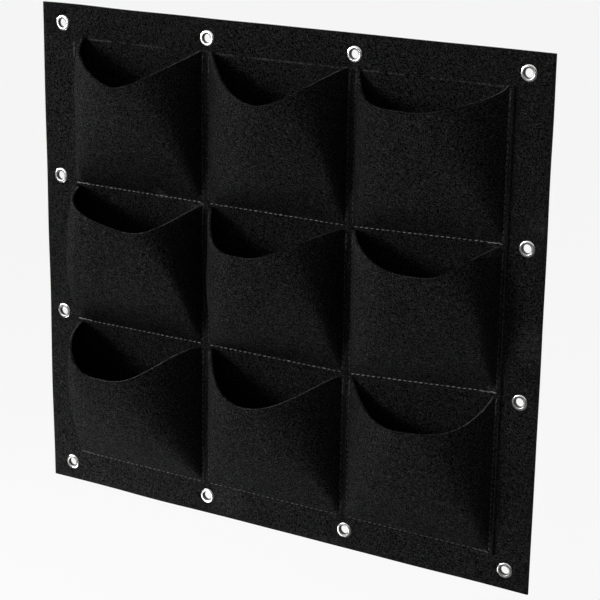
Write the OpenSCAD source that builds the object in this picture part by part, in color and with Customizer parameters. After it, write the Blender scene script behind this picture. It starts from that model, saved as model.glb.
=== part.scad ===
// Wall pocket planter: nine felt pockets sewn to one felt backing that hangs from twelve eyelets.
// Everything is laid out flat on its back, as it is sewn, and then stood up against the wall:
// across is X, up the panel is Y and towards the room is Z until stand_up() turns it.
// The origin is the middle of the four corner eyelets, on the back of the felt.

/* [Felt] */
// Thickness of the felt, the same in the backing and the pockets
felt_t = 3; // [2:0.5:4]
// Backing left bare beside the pockets
side_margin = 34.5; // [32:0.5:60]
// Backing left bare above the pockets
top_margin = 29; // [27:0.5:60]
// Backing left bare below the pockets
bottom_margin = 30; // [27:0.5:60]

/* [Pockets] */
// Width of a pocket, from one column seam to the next
pocket_w = 152; // [110:1:200]
// Height of a pocket in the top row
top_row_h = 144; // [115:1:200]
// Height of a pocket in the middle row
middle_row_h = 137; // [115:1:200]
// Height of a pocket in the bottom row
bottom_row_h = 140; // [115:1:200]
// How far a typical rim stands out from the backing
rim_bulge = 50; // [20:1:60]
// How far a typical rim dips between its corners
rim_dip = 32; // [10:1:42]
// How much fuller a pocket is low down than at its rim, before the felt slopes back, as a share
belly_swell = 0.05; // [0:0.01:0.3]
// Rise of the seam under the top row, across the right-hand column
upper_seam_lift = 6; // [0:1:10]
// Rise of the seam under the middle row, across the right-hand column
lower_seam_lift = 10; // [0:1:14]

/* [Seams] */
// Cut edge of a pocket to its line of stitches
seam_inset = 3; // [2:0.5:5]
// Line of stitches to where the pocket leaves the backing
fold_gap = 2.4; // [1.4:0.1:3]
// Gap between the cut edges of neighbouring pockets
edge_gap = 0.6; // [0.2:0.1:1.5]
// Thickness of the sewing thread
thread_d = 0.8; // [0.4:0.1:1]

/* [Eyelets] */
// Bore of an eyelet
eyelet_bore = 8; // [6:0.5:9]
// Outside of the domed front flange
flange_d = 15; // [14:0.5:18]
// Height of the flange's dome above its seat
flange_h = 1.3; // [1:0.1:2]
// Thickness of the sheet metal
sheet_t = 0.4; // [0.3:0.05:0.5]
// Outside of the washer at the back
washer_d = 14.4; // [13.5:0.1:17]
// How deep the flange and the washer each press into the felt
press_depth = 0.7; // [0.7:0.05:0.9]
// Room between the metal and the felt around it
eyelet_clearance = 0.15; // [0.05:0.05:0.3]
// Corner eyelets to the side edge of the backing
corner_inset = 23; // [12:1:28]
// Top and bottom eyelets to the edge of the backing
end_inset = 18; // [11:0.5:18]
// Side eyelets to the side edge of the backing
side_inset = 17; // [11:0.5:20]
// Side eyelets above the row seams
side_rise = 7; // [0:1:20]

/* [Fineness] */
// Facets across a pocket
steps_across = 16; // [10:2:20]
// Facets up a pocket
steps_up = 11; // [6:1:14]

/* [Hidden] */

// Each pocket was cut and sewn by hand and hangs in its own way, so its rim has its own numbers.
// The tables read as the panel does: three rows from the top, three pockets in each.
// Seen from above: stand-out as a share of rim_bulge, where across the width it is greatest,
// and how square the flank is to the left and to the right (1 runs straight, 4 is boxy).
RIM_PLAN = [
    [[1.00, 0.55, 2.0, 3.2], [0.92, 0.54, 1.9, 3.2], [0.76, 0.37, 2.2, 1.4]],
    [[1.14, 0.66, 4.3, 3.5], [0.94, 0.46, 2.9, 3.3], [0.82, 0.57, 4.1, 3.3]],
    [[1.16, 0.45, 4.0, 3.0], [0.98, 0.46, 2.3, 2.7], [0.74, 0.48, 1.7, 2.5]]
];
// Seen from the front: dip as a share of rim_dip, how round the edge is to the left and to the
// right of the lowest point (1 runs straight), and how gently it leaves its corners.
RIM_FRONT = [
    [[1.06, 1.3, 1.4, 0.9], [1.06, 1.9, 1.6, 1.1], [0.78, 2.2, 2.4, 0.9]],
    [[0.64, 1.4, 2.8, 1.2], [0.88, 3.7, 1.7, 1.5], [0.75, 2.4, 2.6, 1.8]],
    [[0.97, 2.7, 2.8, 2.1], [1.00, 1.8, 2.0, 1.3], [1.00, 2.0, 4.2, 1.1]]
];
// Towards the foot: how high the felt slopes back to the seam at the left and at the right, as a
// share of the pocket's height, and how fast the flank grows square at the left and at the right
// (0 keeps it as round as at the rim).
FOOT_FORM = [
    [[1.10, 1.20, 1.0, 1.6], [0.60, 1.30, 0.4, 2.4], [0.80, 1.00, 0.4, 3.0]],
    [[0.80, 1.30, 1.1, 3.0], [0.60, 1.20, 0.3, 2.6], [0.60, 1.20, 0.2, 4.0]],
    [[1.10, 0.95, 1.0, 0.9], [1.00, 1.20, 0.8, 1.4], [0.90, 1.10, 0.8, 1.6]]
];
// The squarest that a flank gets: the felt is too stiff for a sharper bend
squarest = 40;
// Rows of facets crowd towards the foot by this power
foot_crowding = 1.4;
// Facets around the eyelets
round_fn = 48;

columns = 3;
row_h = [top_row_h, middle_row_h, bottom_row_h];
seam_lift = [0, upper_seam_lift, lower_seam_lift, 0];
panel_w = columns * pocket_w + 2 * side_margin;
panel_h = top_margin + top_row_h + middle_row_h + bottom_row_h + bottom_margin;
pockets_top = panel_h / 2 - top_margin;
row_lines = [
    pockets_top,
    pockets_top - top_row_h,
    pockets_top - top_row_h - middle_row_h,
    pockets_top - top_row_h - middle_row_h - bottom_row_h
];
fold_inset = seam_inset + fold_gap;
bore_r = eyelet_bore / 2;
barrel_r = bore_r + sheet_t;
felt_hole_r = barrel_r + eyelet_clearance;
curl_r = barrel_r + 1;
washer_t = press_depth - sheet_t;
corner_x = panel_w / 2 - corner_inset;
end_y = panel_h / 2 - end_inset;
side_x = panel_w / 2 - side_inset;
column_x = pocket_w / 2;

// Centres of the eyelets: four at the corners, two each at top and bottom, two on each side
EYELETS = concat(
    [for (x = [-corner_x, -column_x, column_x, corner_x], y = [end_y, -end_y]) [x, y]],
    [for (x = [-side_x, side_x], line = [1, 2]) [x, row_lines[line] + side_rise]]
);

// Stands what was laid out flat against the wall
module stand_up() {
    rotate([90, 0, 0]) children();
}

// Left-hand cut edge of a column of pockets
function column_left(col) = (col - columns / 2) * pocket_w;

// Height of the line between two rows, a share across of the way along one column
function line_y(line, col, across) =
    row_lines[line] + (col == columns - 1 ? seam_lift[line] * across : 0);

// Distance from the fullest place, as a share of the way to the seam on that side
function from_peak(u, peak) = u < peak ? (peak - u) / peak : (u - peak) / (1 - peak);

// How far the felt stands off the backing at share u across and v up
function stand_off(row, col, u, v) =
    let (plan = RIM_PLAN[row][col])
    let (foot = FOOT_FORM[row][col])
    let (at_rim = u < plan[1] ? plan[2] : plan[3])
    let (growth = u < plan[1] ? foot[2] : foot[3])
    let (square = v > 0.02 ? min(at_rim / pow(v, growth), squarest) : squarest)
    let (section = 1 - pow(from_peak(u, plan[1]), square))
    let (belly = foot[0] * (1 - u) + foot[1] * u)
    let (slope_back = v < belly ? 1 - pow(1 - v / belly, 2) : 1)
    plan[0] * rim_bulge * section * slope_back * (1 + belly_swell * (1 - v));

// How far the rim hangs below its corners at share u across
function dip(row, col, u) =
    let (front = RIM_FRONT[row][col])
    let (peak = RIM_PLAN[row][col][1])
    let (round_by = u < peak ? front[1] : front[2])
    front[0] * rim_dip * pow(1 - pow(from_peak(u, peak), round_by), front[3]);

// Middle of the felt at share u across and v up, between the folds
function bulge_point(row, col, u, v) =
    let (inner_w = pocket_w - edge_gap - 2 * fold_inset)
    let (x = column_left(col) + edge_gap / 2 + fold_inset + u * inner_w)
    let (foot = line_y(row + 1, col, u) + edge_gap / 2 + fold_inset)
    let (rim = line_y(row, col, u) - edge_gap / 2 - dip(row, col, u))
    [x, foot + v * (rim - foot), felt_t / 2 + stand_off(row, col, u, v)];

// The same, with the flat seam allowance as one more step at the left, the right and the foot
function felt_point(row, col, i, j) =
    let (u = (1 - cos(180 * min(max(i - 1, 0), steps_across) / steps_across)) / 2)
    let (v = pow(max(j - 1, 0) / steps_up, foot_crowding))
    let (out = i == 0 ? -fold_inset : i == steps_across + 2 ? fold_inset : 0)
    bulge_point(row, col, u, v) + [out, j == 0 ? -fold_inset : 0, 0];

function unit(a) = a / norm(a);

// A felt shell of even thickness about a grid of points, as one closed body of triangles
module felt_shell(grid) {
    rows = len(grid);
    cols = len(grid[0]);
    facings = [for (j = [0:rows - 2]) [for (i = [0:cols - 2])
        unit(cross(grid[j][i + 1] - grid[j][i], grid[j + 1][i] - grid[j][i]))
    ]];
    // The facings around a grid point, and from them the mitred half thickness there
    function around(i, j) = [
        for (b = [max(j - 1, 0), min(j, rows - 2)], a = [max(i - 1, 0), min(i, cols - 2)]) facings[b][a]
    ];
    function half_thickness(i, j) =
        let (n = around(i, j))
        let (mean = unit(n[0] + n[1] + n[2] + n[3]))
        mean * felt_t / 2 / (mean * (n[0] + n[1] + n[2] + n[3]) / 4);
    front = [for (j = [0:rows - 1], i = [0:cols - 1]) grid[j][i] + half_thickness(i, j)];
    back = [for (j = [0:rows - 1], i = [0:cols - 1]) grid[j][i] - half_thickness(i, j)];
    count = rows * cols;
    function at(i, j) = j * cols + i;
    front_faces = [for (j = [0:rows - 2], i = [0:cols - 2]) each [
        [at(i, j), at(i, j + 1), at(i + 1, j + 1)],
        [at(i, j), at(i + 1, j + 1), at(i + 1, j)]
    ]];
    back_faces = [for (f = front_faces) [f[2] + count, f[1] + count, f[0] + count]];
    outline = concat(
        [for (i = [0:cols - 2]) at(i, 0)],
        [for (j = [0:rows - 2]) at(cols - 1, j)],
        [for (i = [cols - 1:-1:1]) at(i, rows - 1)],
        [for (j = [rows - 1:-1:1]) at(0, j)]
    );
    edge_faces = [for (k = [0:len(outline) - 1])
        let (a = outline[k], b = outline[(k + 1) % len(outline)])
        each [[a, b, b + count], [a, b + count, a + count]]
    ];
    polyhedron(points = concat(front, back), faces = concat(front_faces, back_faces, edge_faces));
}

// One pocket: flat along its seams, bulging between them, open along its rim
module pocket(row, col) {
    color([0.09, 0.09, 0.09])
    stand_up()
    translate([0, 0, felt_t])
    felt_shell([for (j = [0:steps_up + 1]) [for (i = [0:steps_across + 2]) felt_point(row, col, i, j)]]);
}

// A straight run of thread on the felt's surface between two points, rounded on top
module thread_run(from, to) {
    along = to - from;
    translate([from[0], from[1], 2 * felt_t])
    rotate(atan2(along[1], along[0]))
    rotate([90, 0, 90])
    linear_extrude(norm(along))
    intersection() {
        circle(d = thread_d, $fn = 24);
        translate([-thread_d, 0]) square([2 * thread_d, thread_d]);
    }
}

// The stitches of one pocket: down the left side, along the foot and up the right side
module thread(row, col) {
    inset = edge_gap / 2 + seam_inset;
    left = column_left(col) + inset;
    right = column_left(col + 1) - inset;
    foot = [for (u = [0, 1]) line_y(row + 1, col, u) + inset];
    top = [for (u = [0, 1]) line_y(row, col, u) - inset];
    color([0.35, 0.35, 0.35])
    stand_up() {
        thread_run([left, top[0]], [left, foot[0]]);
        thread_run([left, foot[0]], [right, foot[1]]);
        thread_run([right, top[1]], [right, foot[1]]);
    }
}

// The backing, punched for the eyelets and pressed in around them
module back_panel() {
    color([0.07, 0.07, 0.07])
    stand_up()
    difference() {
        translate([-panel_w / 2, -panel_h / 2, 0]) cube([panel_w, panel_h, felt_t]);
        for (spot = EYELETS) translate(spot) {
            translate([0, 0, -1]) cylinder(r = felt_hole_r, h = felt_t + 2, $fn = round_fn);
            translate([0, 0, felt_t - press_depth])
                cylinder(d = flange_d + 2 * eyelet_clearance, h = felt_t, $fn = round_fn);
            translate([0, 0, press_depth - felt_t])
                cylinder(d = washer_d + 2 * eyelet_clearance, h = felt_t, $fn = round_fn);
        }
    }
}

// Half section of the eyelet: a dome in front, the barrel, and the curl over the washer behind
module barrel_section() {
    seat = felt_t - press_depth;
    dome_w = (flange_d / 2 - bore_r) / 2;
    mouth_r = sheet_t;
    dome = [for (a = [0:15:180]) [bore_r + dome_w * (1 + cos(a)), seat + flange_h * sin(a)]];
    mouth = [for (a = [0:15:90]) [bore_r + mouth_r * (1 - cos(a)), mouth_r * (1 - sin(a))]];
    polygon(concat(dome, mouth, [[curl_r, 0], [curl_r, sheet_t], [barrel_r, sheet_t], [barrel_r, seat]]));
}

// The twelve fronts: domed flange and barrel in one piece
module eyelet_barrels() {
    color([0.8, 0.8, 0.8])
    stand_up()
    for (spot = EYELETS) translate(spot) rotate_extrude($fn = round_fn) barrel_section();
}

// The twelve washers that the barrels are curled over, behind the felt
module eyelet_washers() {
    color([0.72, 0.72, 0.72])
    stand_up()
    for (spot = EYELETS) translate([spot[0], spot[1], sheet_t]) difference() {
        cylinder(d = washer_d, h = washer_t, $fn = round_fn);
        translate([0, 0, -1]) cylinder(r = felt_hole_r, h = washer_t + 2, $fn = round_fn);
    }
}

back_panel();
pocket(0, 0);  // pocket_top_left
pocket(0, 1);  // pocket_top_middle
pocket(0, 2);  // pocket_top_right
pocket(1, 0);  // pocket_middle_left
pocket(1, 1);  // pocket_centre
pocket(1, 2);  // pocket_middle_right
pocket(2, 0);  // pocket_bottom_left
pocket(2, 1);  // pocket_bottom_middle
pocket(2, 2);  // pocket_bottom_right
thread(0, 0);  // thread_top_left
thread(0, 1);  // thread_top_middle
thread(0, 2);  // thread_top_right
thread(1, 0);  // thread_middle_left
thread(1, 1);  // thread_centre
thread(1, 2);  // thread_middle_right
thread(2, 0);  // thread_bottom_left
thread(2, 1);  // thread_bottom_middle
thread(2, 2);  // thread_bottom_right
eyelet_barrels();
eyelet_washers();
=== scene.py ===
"""A wall planter of black felt: its sewn cloth, stitches, eyelets, finishes and studio.

Everything is in metres in the frame of the solids: x runs across the panel, z up it, and the
room lies towards negative y. The back of the felt lies on the wall plane y = 0.
"""

import logging
import math
import random
from collections.abc import Callable, Iterable, Iterator, Mapping, Sequence
from dataclasses import dataclass
from enum import Enum
from functools import cached_property, reduce

import bmesh
import bpy
from mathutils import Matrix, Vector, noise


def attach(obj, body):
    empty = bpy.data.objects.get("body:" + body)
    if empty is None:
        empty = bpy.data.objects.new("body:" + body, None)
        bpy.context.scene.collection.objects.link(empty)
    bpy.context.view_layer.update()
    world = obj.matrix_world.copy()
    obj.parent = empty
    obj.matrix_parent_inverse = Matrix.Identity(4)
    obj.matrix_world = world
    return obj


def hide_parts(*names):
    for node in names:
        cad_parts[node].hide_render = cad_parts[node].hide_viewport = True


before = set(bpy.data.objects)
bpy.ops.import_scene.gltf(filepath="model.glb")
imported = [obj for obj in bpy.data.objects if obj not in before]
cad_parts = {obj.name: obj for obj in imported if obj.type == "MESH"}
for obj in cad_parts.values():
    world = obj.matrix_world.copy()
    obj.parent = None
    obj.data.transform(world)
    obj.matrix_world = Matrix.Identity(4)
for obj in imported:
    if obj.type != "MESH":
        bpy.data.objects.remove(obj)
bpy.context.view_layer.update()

log = logging.getLogger("planter")
MM = 0.001
Triple = tuple[float, float, float]
Colour = Triple
Pair = tuple[float, float]


# Sizes


@dataclass(frozen=True)
class PanelSizes:
    """Sizes of the sewn planter: those of its solids, and the soft waves that its felt hangs in."""

    felt: float = 3.0 * MM
    side_margin: float = 34.5 * MM
    top_margin: float = 29.0 * MM
    bottom_margin: float = 30.0 * MM
    pocket_width: float = 152.0 * MM
    row_heights: tuple[float, ...] = (144.0 * MM, 137.0 * MM, 140.0 * MM)
    rim_bulge: float = 50.0 * MM
    rim_dip: float = 32.0 * MM
    belly_swell: float = 0.05
    seam_lifts: tuple[float, ...] = (0.0, 6.0 * MM, 10.0 * MM, 0.0)
    seam_inset: float = 3.0 * MM
    fold_gap: float = 2.4 * MM
    edge_gap: float = 0.6 * MM
    corner_inset: float = 23.0 * MM
    end_inset: float = 18.0 * MM
    side_inset: float = 17.0 * MM
    side_rise: float = 7.0 * MM
    press_depth: float = 0.7 * MM
    wave_depth: float = 0.7 * MM
    waves_in_metre: float = 9.0

    @property
    def width(self) -> float:
        """Width of the backing."""
        return 3 * self.pocket_width + 2 * self.side_margin

    @property
    def height(self) -> float:
        """Height of the backing."""
        return self.top_margin + sum(self.row_heights) + self.bottom_margin

    @property
    def allowance(self) -> float:
        """Flat felt from a pocket's cut edge to its fold."""
        return self.seam_inset + self.fold_gap

    def line_height(self, line: int, column: int = 0, across: float = 0.0) -> float:
        """Height of a line between rows, counted from the top, at a share across one column."""
        lift = self.seam_lifts[line] * min(max(across, 0.0), 1.0) if column == 2 else 0.0
        return self.height / 2 - self.top_margin - sum(self.row_heights[:line]) + lift

    def column_left(self, column: int) -> float:
        """Left-hand cut edge of a column of pockets."""
        return (column - 1.5) * self.pocket_width

    def wave(self, x: float, z: float) -> float:
        """How far the felt stands off the wall, in soft waves.

        Args:
            x: Place across the panel.
            z: Place up the panel.

        Returns:
            The distance, between 0 and the waves' depth.
        """
        across, up = x * self.waves_in_metre, z * self.waves_in_metre
        swell = noise.noise(Vector((across + 3.1, up - 1.7, 0.4)))
        return self.wave_depth * (0.5 + 0.5 * max(-1.0, min(1.0, 1.6 * swell)))

    @cached_property
    def eyelets(self) -> list[Pair]:
        """Centres of the twelve eyelets: those at the top and the bottom, then those at the sides.

        Returns:
            The place of each, across and up.
        """
        corner_x = self.width / 2 - self.corner_inset
        end_z = self.height / 2 - self.end_inset
        side_x = self.width / 2 - self.side_inset
        column_x = self.pocket_width / 2
        ends = [(x, z) for x in (-corner_x, -column_x, column_x, corner_x) for z in (end_z, -end_z)]
        return ends + [(x, self.line_height(n) + self.side_rise) for x in (-side_x, side_x) for n in (1, 2)]


@dataclass(frozen=True)
class PocketForm:
    """How one hand-sewn pocket hangs, in shares of the typical sizes.

    Attributes:
        place: The pocket's place on the panel.
        row: Row, from the top.
        column: Column, from the left.
        plan: Stand-out of the rim, where across it is greatest, and how square the flank is to
            the left and to the right of there.
        front: Dip of the rim, how round it is to the left and to the right of its lowest place,
            and how gently it leaves its corners.
        foot: How high the felt slopes back to the seam at the left and at the right, and how
            fast the flank grows square towards the foot at the left and at the right.
        cut: Width and height that the piece was cut to, in metres.
        area: Flat area of the cut piece, in square metres.
        tuck: How far the rim's left corner is drawn in, in metres.
    """

    place: str
    row: int
    column: int
    plan: tuple[float, float, float, float]
    front: tuple[float, float, float, float]
    foot: tuple[float, float, float, float]
    cut: Pair
    area: float
    tuck: float = 0.0

    @property
    def node(self) -> str:
        """Name of the pocket's solid."""
        return "pocket_" + self.place

    @property
    def thread_node(self) -> str:
        """Name of the solid of the pocket's stitches."""
        return "thread_" + self.place


POCKETS: tuple[PocketForm, ...] = (
    PocketForm("top_left", 0, 0, (1.00, 0.55, 2.0, 3.2), (1.06, 1.3, 1.4, 0.9),
               (1.10, 1.20, 1.0, 1.6), (0.201, 0.145), 0.0239, 9.0 * MM),
    PocketForm("top_middle", 0, 1, (0.92, 0.54, 1.9, 3.2), (1.06, 1.9, 1.6, 1.1),
               (0.60, 1.30, 0.4, 2.4), (0.201, 0.146), 0.0236),
    PocketForm("top_right", 0, 2, (0.67, 0.50, 3.5, 2.6), (0.813, 4.5, 1.31, 0.6),
               (0.80, 1.00, 0.4, 1.2), (0.189, 0.143), 0.0214),
    PocketForm("middle_left", 1, 0, (1.14, 0.66, 4.3, 3.5), (0.64, 1.4, 2.8, 1.2),
               (0.80, 1.30, 1.1, 3.0), (0.219, 0.147), 0.0269),
    PocketForm("centre", 1, 1, (0.94, 0.46, 2.9, 3.3), (0.88, 3.7, 1.7, 1.5),
               (0.60, 1.20, 0.3, 2.6), (0.204, 0.143), 0.0239),
    PocketForm("middle_right", 1, 2, (0.82, 0.57, 4.1, 3.3), (0.75, 2.4, 2.6, 1.8),
               (0.60, 1.20, 0.2, 4.0), (0.198, 0.141), 0.0232),
    PocketForm("bottom_left", 2, 0, (1.16, 0.45, 4.0, 3.0), (0.97, 2.7, 2.8, 2.1),
               (1.10, 0.95, 1.0, 0.9), (0.224, 0.144), 0.0260),
    PocketForm("bottom_middle", 2, 1, (0.98, 0.46, 2.3, 2.7), (1.00, 1.8, 2.0, 1.3),
               (1.00, 1.20, 0.8, 1.4), (0.203, 0.141), 0.0233),
    PocketForm("bottom_right", 2, 2, (0.82, 0.48, 1.4, 3.2), (0.95, 2.7, 5.0, 0.9),
               (0.90, 1.10, 0.8, 1.6), (0.198, 0.150), 0.0222),
)


class Side(Enum):
    """The two faces of the felt that a stitch can lie on."""

    ROOM = "room"
    WALL = "wall"


# Shader graphs


class Value:
    """A number that varies over a surface: a shader socket that Python arithmetic works on."""

    def __init__(self, graph: "Graph", socket: bpy.types.NodeSocket) -> None:
        """Wraps a node's output in its graph."""
        self.graph = graph
        self.socket = socket

    def maths(self, operation: str, *operands: "Value | float") -> "Value":
        """Adds one Math node, with the operands as its inputs in order."""
        return self.graph.value("ShaderNodeMath", dict(enumerate(operands)), operation=operation)

    def __add__(self, other: "Value | float") -> "Value":
        """self + other."""
        return self.maths("ADD", self, other)

    def __sub__(self, other: "Value | float") -> "Value":
        """self - other."""
        return self.maths("SUBTRACT", self, other)

    def __rsub__(self, other: float) -> "Value":
        """other - self."""
        return self.maths("SUBTRACT", other, self)

    def __mul__(self, other: "Value | float") -> "Value":
        """self * other."""
        return self.maths("MULTIPLY", self, other)

    __radd__ = __add__
    __rmul__ = __mul__

    def __pow__(self, other: float) -> "Value":
        """self ** other."""
        return self.maths("POWER", self, other)

    def __abs__(self) -> "Value":
        """abs(self)."""
        return self.maths("ABSOLUTE", self)

    def larger(self, other: "Value | float") -> "Value":
        """The larger of self and other."""
        return self.maths("MAXIMUM", self, other)

    def between(self, low: float, high: float) -> "Value":
        """Moves a share from 0 to 1 so that it runs from low to high."""
        return self * (high - low) + low

    def over(self, low: float, high: float) -> "Value":
        """Runs smoothly from 0 to 1 as the number goes from low to high.

        Args:
            low: Where the result leaves 0.
            high: Where it reaches 1. It may be below low, and the result then falls.

        Returns:
            The smoothed share, held between 0 and 1.
        """
        first, last = (0.0, 1.0) if low < high else (1.0, 0.0)
        ends = {"From Min": min(low, high), "From Max": max(low, high), "To Min": first, "To Max": last}
        return self.graph.value("ShaderNodeMapRange", {"Value": self, **ends}, "Result",
                                interpolation_type="SMOOTHSTEP", clamp=True)


class Graph:
    """The node graph of a material or a world, filled through one method."""

    def __init__(self, owner: bpy.types.Material | bpy.types.World) -> None:
        """Empties the owner's graph.

        Args:
            owner: The material or the world.
        """
        self.owner = owner
        owner.use_nodes = True
        self.tree = owner.node_tree
        self.tree.nodes.clear()

    @classmethod
    def for_material(cls, name: str) -> "Graph":
        """Starts a new material's graph."""
        return cls(bpy.data.materials.new(name))

    def node(self, kind: str, values: Mapping[str | int, object] | None = None,
             **settings: object) -> bpy.types.Node:
        """Adds one node.

        Args:
            kind: The node's type.
            values: What goes into its sockets, by name or number: a Value, an output socket, or
                a constant.
            settings: Its own settings, which are set first.

        Returns:
            The new node.
        """
        made = self.tree.nodes.new(kind)
        for key, setting in settings.items():
            setattr(made, key, setting)
        for key, value in (values or {}).items():
            source = value.socket if isinstance(value, Value) else value
            if isinstance(source, bpy.types.NodeSocket):
                self.tree.links.new(source, made.inputs[key])
            else:
                made.inputs[key].default_value = source
        return made

    def value(self, kind: str, values: Mapping[str | int, object], output: str | int = 0,
              **settings: object) -> Value:
        """Adds one node, as node() does, and wraps one of its outputs."""
        return Value(self, self.node(kind, values, **settings).outputs[output])

    def attribute(self, name: str) -> Value:
        """A number that the points of a piece carry."""
        return self.value("ShaderNodeAttribute", {}, "Fac", attribute_name=name)

    def here(self) -> bpy.types.NodeSocket:
        """Object coordinates."""
        return self.node("ShaderNodeTexCoord").outputs["Object"]

    def axes(self, where: bpy.types.NodeSocket) -> list[Value]:
        """The x, y and z of coordinates."""
        return [Value(self, part) for part in self.node("ShaderNodeSeparateXYZ", {0: where}).outputs]

    def place(self, scale: Triple = (1.0, 1.0, 1.0),
              turn: Triple = (0.0, 0.0, 0.0)) -> bpy.types.NodeSocket:
        """Object coordinates, turned about each axis in radians and then stretched along it."""
        turned = self.node("ShaderNodeVectorRotate", {"Vector": self.here(), "Rotation": turn},
                           rotation_type="EULER_XYZ")
        return self.node("ShaderNodeMapping", {"Vector": turned.outputs[0], "Scale": scale}).outputs[0]

    def cloud(self, where: bpy.types.NodeSocket, scale: float, detail: float = 2.0,
              roughness: float = 0.5, warp: float = 0.0) -> Value:
        """Soft noise about a mean of one half, with scale features to each unit of where."""
        return self.value("ShaderNodeTexNoise", {"Vector": where, "Scale": scale, "Detail": detail,
                                                 "Roughness": roughness, "Distortion": warp},
                          "Fac", noise_dimensions="3D")

    def mix(self, share: Value | float, first: object, second: object) -> bpy.types.NodeSocket:
        """Mixes two colours or outputs by the share of the second."""
        values = {0: share, 6: opaque(first), 7: opaque(second)}
        return self.node("ShaderNodeMix", values, data_type="RGBA").outputs[2]

    def tint(self, colour: object, level: Value) -> bpy.types.NodeSocket:
        """Multiplies a colour or an output by a varying number."""
        grey = self.node("ShaderNodeCombineXYZ", {0: level, 1: level, 2: level}).outputs[0]
        return self.node("ShaderNodeVectorMath", {0: colour, 1: grey}, operation="MULTIPLY").outputs[0]

    def bump(self, height: Value, depth: float, strength: float) -> bpy.types.NodeSocket:
        """Normals that follow a height, given in shares of a depth in metres."""
        values = {"Strength": strength, "Distance": depth, "Height": height}
        return self.node("ShaderNodeBump", values).outputs[0]

    def finish(self, values: Mapping[str, object]) -> bpy.types.Material:
        """Closes the graph with one Principled shader.

        Args:
            values: What goes into the shader's sockets.

        Returns:
            The finished material.
        """
        shader = self.node("ShaderNodeBsdfPrincipled", values)
        self.node("ShaderNodeOutputMaterial", {"Surface": shader.outputs[0]})
        return self.owner


def opaque(colour: object) -> object:
    """Adds an alpha of 1 to a colour of three numbers, and leaves anything else as it is."""
    return (*colour, 1.0) if isinstance(colour, tuple) and len(colour) == 3 else colour


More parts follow.
